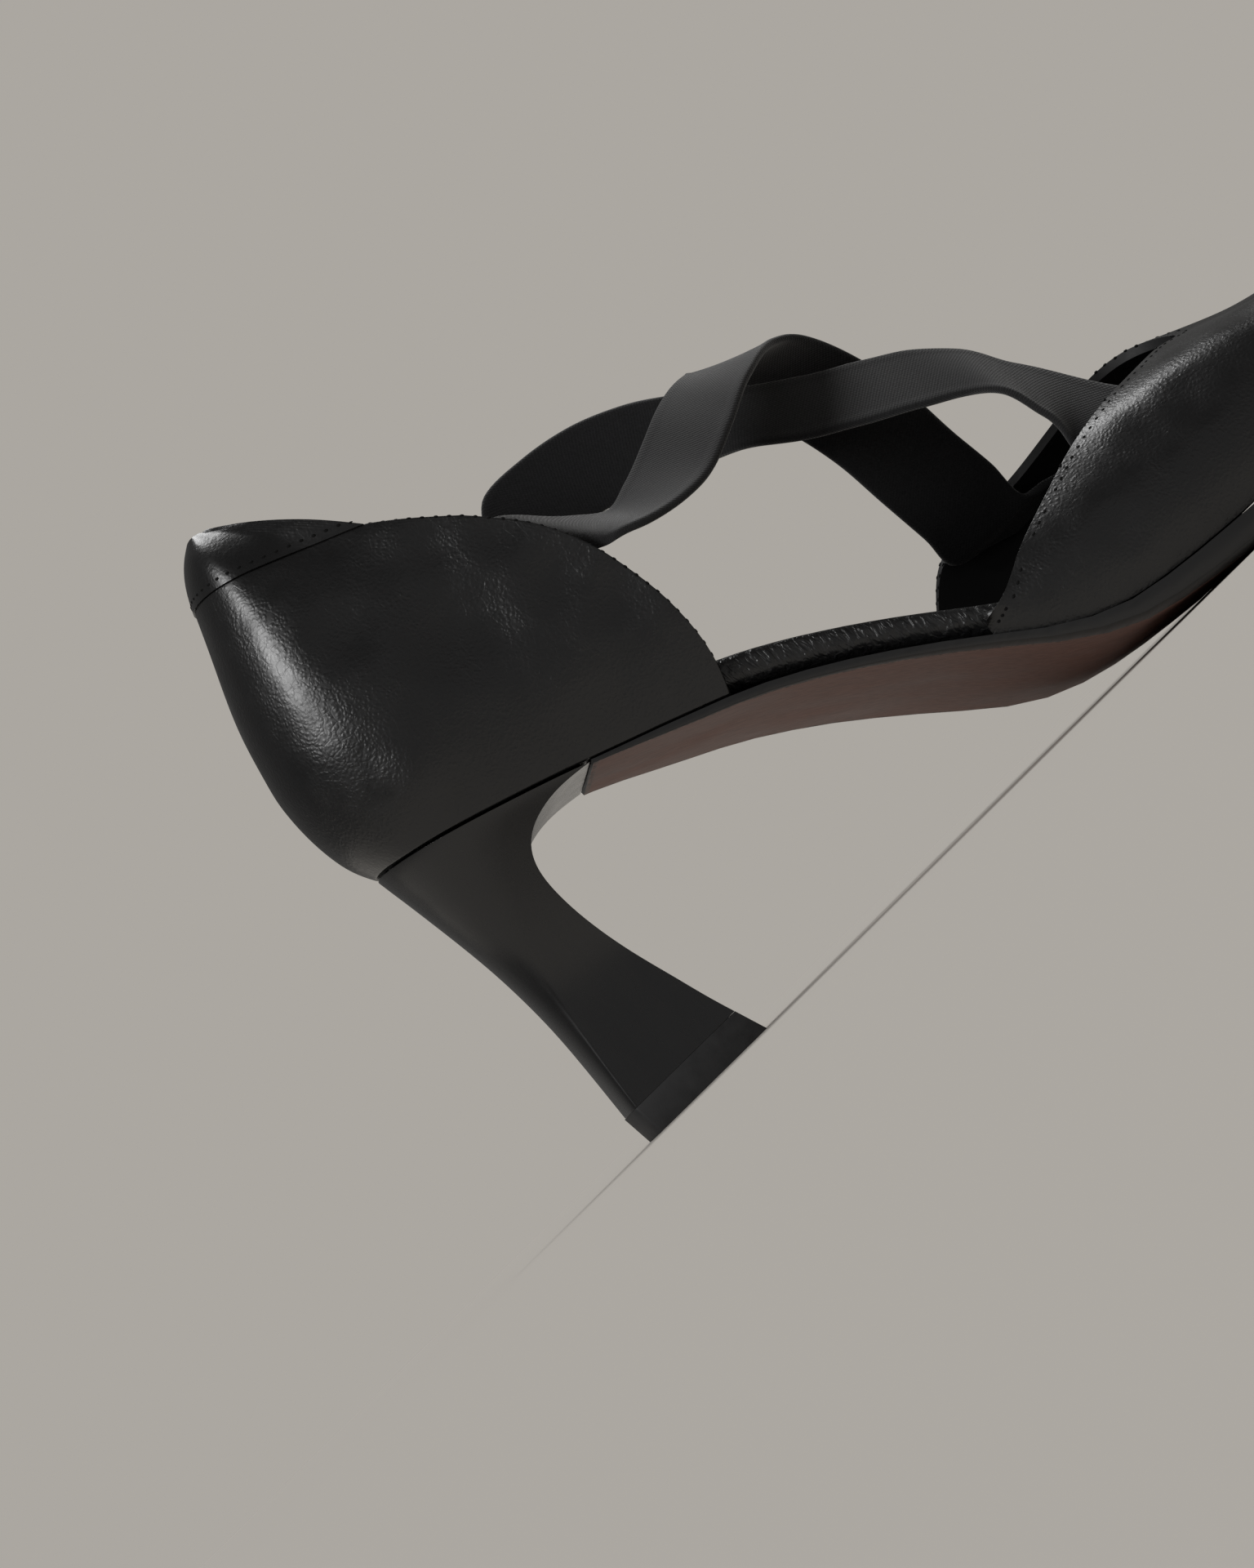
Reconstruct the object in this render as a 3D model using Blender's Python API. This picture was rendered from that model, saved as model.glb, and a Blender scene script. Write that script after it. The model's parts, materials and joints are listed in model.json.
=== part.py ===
"""Left two-piece heeled sandal: closed heel cup, closed vamp, open waist and two crossed elastic straps.

Units are metres. +X points to the toe, +Y to the outer side of the foot, +Z up.
The origin is the centre of the heel tip's ground face. Inner means the arch side, -Y.
"""

from collections import namedtuple

import bmesh
import bpy
import numpy as np

# Driving sizes
LAST_LENGTH = 0.2346
BALL_WIDTH = 0.0785
HEEL_HEIGHT = 0.0643
TOE_SPRING = 0.0065
ARCH_LIFT = 0.0010
UPPER_WALL = 0.0018
FIT_GAP = 0.0003

# Sole, insole and heel
SOLE_EDGE = 0.0056
SOLE_LEDGE = 0.0020
SOLE_BEVEL_WIDTH = 0.0024
SOLE_BEVEL_HEIGHT = 0.0011
SEAT_ROUND_LENGTH = 0.0225
TOE_ROUND_LENGTH = 0.0290
ROUND_POWER = 2.15
INSOLE_THICKNESS = 0.0078
INSOLE_ROUNDING = 0.0024
INSOLE_FOOT = 0.0016
INSOLE_GAP = 0.0004
HEEL_TIP_LENGTH = 0.0266
HEEL_TIP_WIDTH = 0.0260
HEEL_SEAT_LENGTH = 0.0384
HEEL_SEAT_WIDTH = 0.0446
HEEL_RAKE = 0.0026
TOP_PIECE_HEIGHT = 0.0056
TOP_PIECE_STEP = 0.0002

# Upper
CUP_LENGTH = 0.0630
CUP_RISE = 0.0641
TAB_STEP = 0.0005
VAMP_START = 0.0996
VAMP_RISE = 0.0310
VAMP_BULGE = 0.0012

# Straps
STRAP_WIDTH = 0.0184
STRAP_THICKNESS = 0.0013
STRAP_RISE = 0.0750
STRAP_TUCK = 0.0012

SEAT_BACK = -HEEL_TIP_LENGTH / 2 - HEEL_RAKE

# Along the sole from the back of the seat: half widths as shares of BALL_WIDTH, the under face as a share of
# HEEL_HEIGHT, and the shares of TOE_SPRING, SOLE_EDGE, SOLE_LEDGE and ARCH_LIFT.
Station = namedtuple("Station", "along inner outer under spring edge ledge lift")
SOLE = (
    Station(0.000, 0.284, 0.284, 1.000, 0.0, 0.14, 0.00, 0.0),
    Station(0.081, 0.284, 0.284, 0.911, 0.0, 0.14, 0.00, 0.0),
    Station(0.165, 0.287, 0.287, 0.812, 0.0, 0.14, 0.04, 0.0),
    Station(0.233, 0.312, 0.322, 0.706, 0.0, 0.28, 0.10, 0.4),
    Station(0.284, 0.333, 0.356, 0.624, 0.0, 0.33, 0.20, 0.8),
    Station(0.331, 0.352, 0.398, 0.528, 0.0, 0.36, 0.30, 1.0),
    Station(0.373, 0.378, 0.446, 0.425, 0.0, 0.39, 0.45, 1.0),
    Station(0.418, 0.415, 0.482, 0.299, 0.0, 0.43, 0.65, 1.0),
    Station(0.450, 0.441, 0.495, 0.201, 0.0, 0.50, 0.80, 0.8),
    Station(0.482, 0.463, 0.502, 0.119, 0.0, 0.62, 0.92, 0.4),
    Station(0.520, 0.483, 0.503, 0.059, 0.0, 0.76, 1.00, 0.0),
    Station(0.557, 0.494, 0.501, 0.030, 0.0, 0.86, 1.00, 0.0),
    Station(0.590, 0.497, 0.496, 0.014, 0.0, 0.92, 1.00, 0.0),
    Station(0.636, 0.491, 0.482, 0.000, 0.0, 0.98, 1.00, 0.0),
    Station(0.722, 0.463, 0.430, 0.000, 0.0, 1.00, 1.00, 0.0),
    Station(0.820, 0.422, 0.364, 0.000, 0.17, 1.00, 1.00, 0.0),
    Station(0.910, 0.379, 0.293, 0.000, 0.52, 1.00, 1.00, 0.0),
    Station(1.000, 0.330, 0.220, 0.000, 1.00, 1.00, 1.00, 0.0),
)

# Heel, from the tip up to the seat: its back as a share of HEEL_RAKE behind the tip, its breast as a share of
# HEEL_TIP_LENGTH from the tip's back edge, the wing as a share of the seat's reach past the tip, the half width as
# a share of the way from the tip's to the seat's, and the depth of its rounded back as a share of HEEL_TIP_LENGTH.
HeelLevel = namedtuple("HeelLevel", "along back breast wing half rounding")
HEEL = (
    HeelLevel(0.00, 0.10, 0.930, 0.00, -0.036, 0.07),
    HeelLevel(0.10, -0.10, 0.870, 0.00, -0.084, 0.08),
    HeelLevel(0.22, -0.33, 0.812, 0.00, -0.141, 0.10),
    HeelLevel(0.34, -0.49, 0.745, 0.00, -0.180, 0.13),
    HeelLevel(0.46, -0.47, 0.690, 0.00, -0.170, 0.18),
    HeelLevel(0.58, -0.33, 0.652, 0.00, -0.074, 0.26),
    HeelLevel(0.68, -0.08, 0.640, 0.00, 0.089, 0.35),
    HeelLevel(0.76, 0.16, 0.650, 0.00, 0.261, 0.44),
    HeelLevel(0.83, 0.39, 0.700, 0.00, 0.444, 0.52),
    HeelLevel(0.89, 0.59, 0.800, 0.00, 0.626, 0.62),
    HeelLevel(0.94, 0.78, 0.960, 0.00, 0.808, 0.72),
    HeelLevel(0.975, 0.91, 1.000, 0.40, 0.933, 0.80),
    HeelLevel(1.00, 1.00, 1.000, 1.00, 0.986, 0.85),
)

# Heel cup, from the feather edge up to the top line: back and front edge as shares of CUP_LENGTH, their rises
# over the feather edge as shares of CUP_RISE, and the spread of the front edge against its own feather edge.
CupRow = namedtuple("CupRow", "along back back_rise front front_rise spread")
CUP = (
    CupRow(0.00, 0.000, 0.000, 1.000, 0.000, 1.00),
    CupRow(0.10, -0.041, 0.085, 1.032, 0.080, 1.04),
    CupRow(0.22, -0.054, 0.212, 1.052, 0.181, 1.07),
    CupRow(0.34, -0.048, 0.318, 1.056, 0.290, 1.08),
    CupRow(0.46, -0.025, 0.412, 1.044, 0.423, 1.06),
    CupRow(0.58, 0.006, 0.521, 1.006, 0.579, 1.01),
    CupRow(0.70, 0.046, 0.622, 0.922, 0.743, 0.94),
    CupRow(0.80, 0.102, 0.740, 0.787, 0.891, 0.84),
    CupRow(0.88, 0.154, 0.857, 0.641, 1.011, 0.72),
    CupRow(0.92, 0.187, 0.914, 0.541, 1.125, 0.64),
    CupRow(0.96, 0.227, 0.966, 0.430, 1.234, 0.50),
    CupRow(1.00, 0.268, 0.994, 0.335, 1.315, 0.33),
)
TAB_SEAM = 0.88
CUP_POWER = 1.15
CUP_FOOT_POWER = 3

# The vamp's top line from the inner corner round the throat to the outer corner: along as a share of
# LAST_LENGTH, across as a share of BALL_WIDTH, rise over the feather edge as a share of VAMP_RISE.
ThroatPoint = namedtuple("ThroatPoint", "along across rise")
THROAT = (
    ThroatPoint(0.432, -0.428, 0.10),
    ThroatPoint(0.454, -0.423, 0.27),
    ThroatPoint(0.488, -0.408, 0.55),
    ThroatPoint(0.527, -0.382, 0.75),
    ThroatPoint(0.577, -0.338, 0.91),
    ThroatPoint(0.616, -0.287, 0.98),
    ThroatPoint(0.653, -0.217, 1.00),
    ThroatPoint(0.690, -0.115, 1.01),
    ThroatPoint(0.719, 0.000, 1.00),
    ThroatPoint(0.707, 0.058, 1.09),
    ThroatPoint(0.688, 0.112, 1.16),
    ThroatPoint(0.659, 0.191, 1.19),
    ThroatPoint(0.625, 0.274, 1.16),
    ThroatPoint(0.578, 0.363, 1.09),
    ThroatPoint(0.535, 0.412, 1.04),
    ThroatPoint(0.498, 0.446, 0.93),
    ThroatPoint(0.471, 0.468, 0.66),
    ThroatPoint(0.450, 0.476, 0.35),
    ThroatPoint(0.431, 0.470, 0.10),
)

# How the vamp climbs from its feather edge to its top line: shares of the way across and of the way up.
Climb = namedtuple("Climb", "along across up")
TOE_CLIMB = (
    Climb(0.00, 0.000, 0.00),
    Climb(0.10, 0.004, 0.17),
    Climb(0.20, 0.020, 0.32),
    Climb(0.32, 0.080, 0.45),
    Climb(0.46, 0.220, 0.54),
    Climb(0.62, 0.450, 0.62),
    Climb(0.80, 0.730, 0.73),
    Climb(1.00, 1.000, 1.00),
)
SIDE_CLIMB = (
    Climb(0.00, 0.000, 0.00),
    Climb(0.15, 0.015, 0.17),
    Climb(0.32, 0.080, 0.38),
    Climb(0.50, 0.210, 0.60),
    Climb(0.70, 0.450, 0.80),
    Climb(0.86, 0.710, 0.91),
    Climb(1.00, 1.000, 1.00),
)

# How far from the toe, and from its rear corners, the vamp changes form, as shares of half its edge.
TOE_REACH = 0.5
CORNER_REACH = 0.2

# Straps: their two edges at chosen places, along and across as on the sole, rise over it as a share of STRAP_RISE.
StrapRow = namedtuple("StrapRow", "back_along back_across back_rise front_along front_across front_rise")
UPPER_STRAP = (
    StrapRow(0.282, -0.153, 0.585, 0.295, -0.322, 0.485),
    StrapRow(0.305, -0.121, 0.576, 0.315, -0.338, 0.491),
    StrapRow(0.332, -0.115, 0.640, 0.349, -0.306, 0.537),
    StrapRow(0.368, -0.096, 0.755, 0.383, -0.248, 0.631),
    StrapRow(0.400, -0.051, 0.860, 0.418, -0.191, 0.773),
    StrapRow(0.434, 0.051, 0.967, 0.457, -0.108, 0.921),
    StrapRow(0.447, 0.153, 0.980, 0.493, 0.057, 1.012),
    StrapRow(0.460, 0.217, 0.903, 0.520, 0.121, 1.000),
    StrapRow(0.474, 0.261, 0.823, 0.546, 0.204, 0.899),
    StrapRow(0.485, 0.299, 0.709, 0.563, 0.268, 0.764),
    StrapRow(0.492, 0.338, 0.564, 0.570, 0.318, 0.613),
    StrapRow(0.497, 0.362, 0.440, 0.574, 0.328, 0.505),
)
LOWER_STRAP = (
    StrapRow(0.271, 0.280, 0.799, 0.307, 0.299, 0.639),
    StrapRow(0.312, 0.274, 0.865, 0.337, 0.287, 0.680),
    StrapRow(0.351, 0.248, 0.917, 0.367, 0.248, 0.708),
    StrapRow(0.389, 0.210, 0.948, 0.399, 0.178, 0.728),
    StrapRow(0.426, 0.159, 0.952, 0.432, 0.064, 0.743),
    StrapRow(0.463, 0.140, 0.941, 0.461, 0.013, 0.736),
    StrapRow(0.499, 0.108, 0.911, 0.494, -0.038, 0.720),
    StrapRow(0.534, 0.057, 0.864, 0.529, -0.089, 0.685),
    StrapRow(0.564, 0.013, 0.812, 0.559, -0.146, 0.632),
    StrapRow(0.586, -0.045, 0.736, 0.575, -0.223, 0.576),
    StrapRow(0.604, -0.115, 0.613, 0.581, -0.280, 0.469),
)
# Where the strap ends are sewn inside the upper: places along the cup's front edge and along the vamp's top line.
CUP_HOLD = 0.645
CUP_HOLD_DEPTHS = (0.82, 0.91, 0.985)
INNER_HOLD = -0.443
OUTER_HOLD = 0.617
VAMP_HOLD_DEPTHS = (0.975, 0.88, 0.76)

# Mesh fineness
CUP_COLUMNS = 47
CUP_ROWS = 13
TAB_ROWS = 5
VAMP_COLUMNS = 57
VAMP_ROWS = 13
SOLE_STATIONS = 56
HEEL_ROUND = 9
HEEL_SIDE = 5
STRAP_STATIONS = 60
STRAP_LINES = 5
DENSE = 241
NEARBY = 0.01
NORMAL_STEP = 0.004
END_SPACING = 0.72
LEAST_STATION_STEP = 0.002


def through(rows, column, at):
    """The value of a table's column at a place along it: a smooth curve through the rows that never overshoots."""
    field = rows[0]._fields.index(column)
    x = np.array([row[0] for row in rows])
    y = np.array([row[field] for row in rows])
    step = np.diff(x)
    slope = np.diff(y) / step
    tangent = np.zeros(len(x))
    tangent[0] = slope[0]
    tangent[-1] = slope[-1]
    for i in range(1, len(x) - 1):
        if slope[i - 1] * slope[i] > 0:
            before = 2 * step[i] + step[i - 1]
            after = step[i] + 2 * step[i - 1]
            tangent[i] = (before + after) / (before / slope[i - 1] + after / slope[i])
    at = np.clip(np.asarray(at, float), x[0], x[-1])
    i = np.clip(np.searchsorted(x, at, side="right") - 1, 0, len(x) - 2)
    t = (at - x[i]) / step[i]
    rise = 3 * t**2 - 2 * t**3
    return (
        y[i] * (1 - rise)
        + y[i + 1] * rise
        + step[i] * tangent[i] * (t**3 - 2 * t**2 + t)
        + step[i] * tangent[i + 1] * (t**3 - t**2)
    )


def spline(points, at):
    """A smooth curve through points, at places from 0 to 1 along its length."""
    points = np.asarray(points, float)
    length = np.linalg.norm(np.diff(points, axis=0), axis=1)
    knots = np.concatenate([[0.0], np.cumsum(length)])
    knots = knots / knots[-1]
    tangent = np.gradient(points, knots, axis=0)
    at = np.asarray(at, float)
    i = np.clip(np.searchsorted(knots, at, side="right") - 1, 0, len(knots) - 2)
    step = (knots[i + 1] - knots[i])[:, None]
    t = ((at - knots[i])[:, None]) / step
    rise = 3 * t**2 - 2 * t**3
    return (
        points[i] * (1 - rise)
        + points[i + 1] * rise
        + step * tangent[i] * (t**3 - 2 * t**2 + t)
        + step * tangent[i + 1] * (t**3 - t**2)
    )


def share_of(x):
    """The share of the last's length at a place along X."""
    return (np.asarray(x, float) - SEAT_BACK) / LAST_LENGTH


def under_height(x):
    """Height of the sole's under face at its middle."""
    share = share_of(x)
    return through(SOLE, "under", share) * HEEL_HEIGHT + through(SOLE, "spring", share) * TOE_SPRING


def arch_lift(x, y):
    """The under face is a little higher on the arch side than on the outer side."""
    return -through(SOLE, "lift", share_of(x)) * ARCH_LIFT * y / (BALL_WIDTH / 2)


def feather_height(x, y):
    """Height of the sole's top face, where the upper, the insole and the heel meet it."""
    return under_height(x) + through(SOLE, "edge", share_of(x)) * SOLE_EDGE + arch_lift(x, y)


def end_rounding(share):
    """Narrows the half widths to the round back of the seat and to the soft square toe."""
    back = np.clip(1 - share * LAST_LENGTH / SEAT_ROUND_LENGTH, 0, 1)
    toe = np.clip(1 - (1 - share) * LAST_LENGTH / TOE_ROUND_LENGTH, 0, 1)
    root = 1 / ROUND_POWER
    return np.clip(1 - back**ROUND_POWER, 0, 1) ** root * np.clip(1 - toe**ROUND_POWER, 0, 1) ** root


def side_line(side, inset_along):
    """One side of the sole's outline from the back to the toe, moved inwards by inset_along(share)."""
    share = (1 - np.cos(np.linspace(0, np.pi, DENSE))) / 2
    column = "inner" if side < 0 else "outer"
    half = through(SOLE, column, share) * BALL_WIDTH * end_rounding(share)
    x = SEAT_BACK + share * LAST_LENGTH
    run = np.gradient(x)
    rise = np.gradient(half)
    run[0] = run[-1] = 0.0
    size = np.hypot(run, rise)
    inset = inset_along(share)
    x = x + rise / size * inset
    half = np.maximum(half - run / size * inset, 0.0)
    half[0] = half[-1] = 0.0
    return np.column_stack([x, side * half])


def ledge(share):
    """How far the sole stands out from the upper."""
    return through(SOLE, "ledge", share) * SOLE_LEDGE


def resample(line, places):
    """Points at shares of the length of a plan line."""
    length = np.concatenate([[0.0], np.cumsum(np.linalg.norm(np.diff(line, axis=0), axis=1))])
    at = places * length[-1]
    return np.column_stack([np.interp(at, length, line[:, k]) for k in range(line.shape[1])])


def seat_line(places):
    """The heel cup's feather edge, from the inner front corner round the back to the outer one."""
    front = SEAT_BACK + CUP_LENGTH
    inner = side_line(-1, ledge)
    outer = side_line(1, ledge)
    line = np.vstack([inner[inner[:, 0] <= front][::-1], outer[outer[:, 0] <= front][1:]])
    return resample(line, (places + 1) / 2)


def toe_line(places):
    """The vamp's feather edge, from the inner rear corner round the toe to the outer one."""
    rear = SEAT_BACK + VAMP_START
    inner = side_line(-1, ledge)
    outer = side_line(1, ledge)
    line = np.vstack([inner[inner[:, 0] >= rear], outer[outer[:, 0] >= rear][::-1][1:]])
    return resample(line, (places + 1) / 2)


def cup_surface(place, level):
    """Outer face of the heel cup: place -1 to 1 from inner to outer front edge, level 0 to 1 upwards."""
    place, level = np.broadcast_arrays(np.asarray(place, float), np.asarray(level, float))
    flat = place.ravel()
    base = seat_line(np.concatenate([flat, [0.0, -1.0, 1.0]]))
    corner = np.where(flat < 0, base[-2, 0], base[-1, 0])
    back_base = base[-3, 0]
    base = base[: flat.size]
    rows = level.ravel()
    back = SEAT_BACK + through(CUP, "back", rows) * CUP_LENGTH
    front = SEAT_BACK + through(CUP, "front", rows) * CUP_LENGTH
    forward = np.clip((base[:, 0] - back_base) / (corner - back_base), 0, 1)
    x = back + forward * (front - back)
    y = base[:, 1] * through(CUP, "spread", rows)
    back_foot = feather_height(back_base, 0.0)
    front_foot = feather_height(corner, 0.0)
    back_z = back_foot + through(CUP, "back_rise", rows) * CUP_RISE
    front_z = front_foot + through(CUP, "front_rise", rows) * CUP_RISE
    lean = forward**CUP_POWER
    z = back_z + lean * (front_z - back_z)
    foot = feather_height(base[:, 0], base[:, 1]) - (back_foot + lean * (front_foot - back_foot))
    z = z + foot * (1 - rows) ** CUP_FOOT_POWER + FIT_GAP
    return np.column_stack([x, y, z]).reshape(place.shape + (3,))


def throat_line(places):
    """The vamp's top line at places from -1, the inner corner, to 1, the outer corner."""
    rows = np.array(THROAT)
    x = SEAT_BACK + rows[:, 0] * LAST_LENGTH
    y = rows[:, 1] * BALL_WIDTH
    z = feather_height(x, y) + rows[:, 2] * VAMP_RISE
    return spline(np.column_stack([x, y, z]), (places + 1) / 2)


def vamp_surface(place, level):
    """Outer face of the vamp: place -1 to 1 round the toe, level 0 at the feather edge to 1 at the top line."""
    place, level = np.broadcast_arrays(np.asarray(place, float), np.asarray(level, float))
    flat = place.ravel()
    rows = level.ravel()
    foot = toe_line(flat)
    top = throat_line(flat)
    toe = np.clip(1 - np.abs(flat) / TOE_REACH, 0, 1)
    toe = toe**2 * (3 - 2 * toe)
    across = through(SIDE_CLIMB, "across", rows) * (1 - toe) + through(TOE_CLIMB, "across", rows) * toe
    up = through(SIDE_CLIMB, "up", rows) * (1 - toe) + through(TOE_CLIMB, "up", rows) * toe
    foot_z = feather_height(foot[:, 0], foot[:, 1]) + FIT_GAP
    near = toe_line(flat - NEARBY)
    far = toe_line(flat + NEARBY)
    outward = np.column_stack([(far - near)[:, 1], -(far - near)[:, 0]])
    outward = outward / np.linalg.norm(outward, axis=1)[:, None]
    bulge = VAMP_BULGE * np.sin(np.pi * np.clip(up, 0, 1)) * np.minimum((1 - np.abs(flat)) / CORNER_REACH, 1)
    x = foot[:, 0] + (top[:, 0] - foot[:, 0]) * across + outward[:, 0] * bulge
    y = foot[:, 1] + (top[:, 1] - foot[:, 1]) * across + outward[:, 1] * bulge
    z = foot_z + (top[:, 2] - foot_z) * up
    return np.column_stack([x, y, z]).reshape(place.shape + (3,))


def outward_normals(surface, place, level):
    """Unit normals of a surface function, pointing away from the foot."""
    step = NORMAL_STEP
    along = surface(np.minimum(place + step, 1), level) - surface(np.maximum(place - step, -1), level)
    up = surface(place, np.minimum(level + step, 1)) - surface(place, np.maximum(level - step, 0))
    normal = np.cross(up, along) if surface is cup_surface else np.cross(along, up)
    return normal / np.linalg.norm(normal, axis=-1, keepdims=True)


def finish_object(name, mesh_builder, colour, roughness, metallic=0.0):
    """Turns a bmesh into a named object with its own material."""
    bmesh.ops.recalc_face_normals(mesh_builder, faces=mesh_builder.faces)
    mesh = bpy.data.meshes.new(name)
    mesh_builder.to_mesh(mesh)
    mesh_builder.free()
    mesh.shade_smooth()
    mesh.set_sharp_from_angle(angle=np.radians(40))
    material = bpy.data.materials.new(name + "_finish")
    material.use_nodes = True
    shader = material.node_tree.nodes["Principled BSDF"]
    shader.inputs["Base Color"].default_value = (*colour, 1.0)
    shader.inputs["Roughness"].default_value = roughness
    shader.inputs["Metallic"].default_value = metallic
    mesh.materials.append(material)
    thing = bpy.data.objects.new(name, mesh)
    bpy.context.scene.collection.objects.link(thing)
    return thing


def grid_faces(builder, grid):
    """Quads over a grid of vertices."""
    for row, above in zip(grid, grid[1:]):
        for k in range(len(row) - 1):
            builder.faces.new((row[k], row[k + 1], above[k + 1], above[k]))


def wall_solid(surface, levels, columns, proud, on_sole):
    """A closed wall of UPPER_WALL thickness on a surface function, with its outer face moved out by proud."""
    turn = np.pi / 2 * END_SPACING
    places = np.sin(np.linspace(-turn, turn, columns)) / np.sin(turn)
    place, level = np.meshgrid(places, levels)
    face = surface(place, level)
    normal = outward_normals(surface, place, level)
    outer = face + normal * proud
    inner = face - normal * UPPER_WALL
    if on_sole:
        flat = normal[0].copy()
        flat[:, 2] = 0
        flat /= np.linalg.norm(flat, axis=1)[:, None]
        inner[0] = face[0] - flat * UPPER_WALL
        inner[0, :, 2] = feather_height(inner[0, :, 0], inner[0, :, 1]) + FIT_GAP
    builder = bmesh.new()
    outside = [[builder.verts.new(p) for p in row] for row in outer]
    inside = [[builder.verts.new(p) for p in row] for row in inner]
    grid_faces(builder, outside)
    grid_faces(builder, [row[::-1] for row in inside])
    grid_faces(builder, [inside[0], outside[0]])
    grid_faces(builder, [outside[-1], inside[-1]])
    grid_faces(builder, [[row[0] for row in outside], [row[0] for row in inside]])
    grid_faces(builder, [[row[-1] for row in inside], [row[-1] for row in outside]])
    return builder


def ladder(builder, ring):
    """Closes a ring of vertices with rungs from its inner half to its outer half."""
    last = len(ring) - 1
    for k in range(len(ring) // 2):
        corners = [ring[k], ring[last - k], ring[last - k - 1], ring[k + 1]]
        kept = [v for i, v in enumerate(corners) if v not in corners[:i]]
        if len(kept) > 2:
            builder.faces.new(kept)


def stacked(rings):
    """A closed solid through rings of equal size, each an open chain from one side to the other."""
    builder = bmesh.new()
    made = [[builder.verts.new(p) for p in ring] for ring in rings]
    for low, high in zip(made, made[1:]):
        for k in range(len(low)):
            after = (k + 1) % len(low)
            builder.faces.new((low[k], low[after], high[after], high[k]))
    ladder(builder, made[0])
    ladder(builder, made[-1])
    return builder


def chain(first, inset_along):
    """A plan line from a first share on the inner side round the toe to the same share on the outer side."""
    shares = (1 - np.cos(np.linspace(0, np.pi, SOLE_STATIONS))) / 2
    shares = np.concatenate([[first], shares[shares > first + LEAST_STATION_STEP]])
    dense = (1 - np.cos(np.linspace(0, np.pi, DENSE))) / 2
    sides = []
    for side in (-1, 1):
        line = side_line(side, inset_along)
        sides.append(np.column_stack([np.interp(shares, dense, line[:, k]) for k in range(2)]))
    inner, outer = sides
    return np.vstack([inner, outer[::-1][1:]])


def lifted(line, height):
    """A plan line given its heights by height(x, y)."""
    return np.column_stack([line, height(line[:, 0], line[:, 1])])


def make_outsole():
    """Leather outsole from the heel breast to the toe, with a bevelled under edge."""
    breast = (HEEL_SEAT_LENGTH + FIT_GAP) / LAST_LENGTH
    edge = chain(breast, lambda share: 0 * share)
    bevelled = chain(breast, lambda share: SOLE_BEVEL_WIDTH * through(SOLE, "ledge", share))

    def under(x, y):
        return under_height(x) + arch_lift(x, y)

    def above_bevel(x, y):
        return under(x, y) + SOLE_BEVEL_HEIGHT * through(SOLE, "ledge", share_of(x))

    rings = [lifted(bevelled, under), lifted(edge, above_bevel), lifted(edge, feather_height)]
    return finish_object("outsole", stacked(rings), (0.235, 0.105, 0.075), 0.6)


def make_insole():
    """Padded footbed inside the upper, with a rounded top edge."""

    def inset(extra):
        return lambda share: ledge(share) + UPPER_WALL + 2 * FIT_GAP + extra

    def lift(amount):
        return lambda x, y: feather_height(x, y) + INSOLE_GAP + amount

    top_round = INSOLE_ROUNDING * (1 - np.cos(np.pi / 4))
    rings = [
        lifted(chain(0.0, inset(FIT_GAP)), lift(0.0)),
        lifted(chain(0.0, inset(0.0)), lift(INSOLE_FOOT)),
        lifted(chain(0.0, inset(0.0)), lift(INSOLE_THICKNESS - INSOLE_ROUNDING)),
        lifted(chain(0.0, inset(top_round)), lift(INSOLE_THICKNESS - top_round)),
        lifted(chain(0.0, inset(INSOLE_ROUNDING)), lift(INSOLE_THICKNESS)),
    ]
    rings = [ring[1:] for ring in rings]
    return finish_object("insole", stacked(rings), (0.02, 0.02, 0.021), 0.45)


def heel_ring(level, grow=0.0):
    """Plan of the heel at a level: inner breast corner, round the back, outer breast corner."""
    tip_back = -HEEL_TIP_LENGTH / 2
    back = tip_back - through(HEEL, "back", level) * HEEL_RAKE - grow
    wing = through(HEEL, "wing", level) * (SEAT_BACK + HEEL_SEAT_LENGTH - HEEL_TIP_LENGTH / 2)
    breast = tip_back + through(HEEL, "breast", level) * HEEL_TIP_LENGTH + wing
    spread = (HEEL_SEAT_WIDTH - HEEL_TIP_WIDTH) / 2
    half = HEEL_TIP_WIDTH / 2 + through(HEEL, "half", level) * spread + grow
    depth = through(HEEL, "rounding", level) * HEEL_TIP_LENGTH
    turn = np.linspace(0, np.pi / 2, HEEL_ROUND)
    power = 2 / ROUND_POWER
    x_round = back + depth * (1 - np.cos(turn) ** power)
    y_round = half * np.sin(turn) ** power
    x_side = np.linspace(back + depth, breast, HEEL_SIDE)[1:]
    y_side = np.full(HEEL_SIDE - 1, half)
    x = np.concatenate([x_round, x_side])
    y = np.concatenate([y_round, y_side])
    return np.vstack([np.column_stack([x, -y])[::-1], np.column_stack([x, y])[1:]])


def make_heel():
    """Flared heel from the top piece to the seat, with a straight concave breast."""
    foot = TOP_PIECE_HEIGHT + FIT_GAP
    rings = []
    for row in HEEL:
        line = heel_ring(row.along)
        seat = feather_height(line[:, 0], line[:, 1]) - FIT_GAP
        rings.append(np.column_stack([line, foot + row.along * (seat - foot)]))
    return finish_object("heel", stacked(rings), (0.012, 0.012, 0.013), 0.3)


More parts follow.
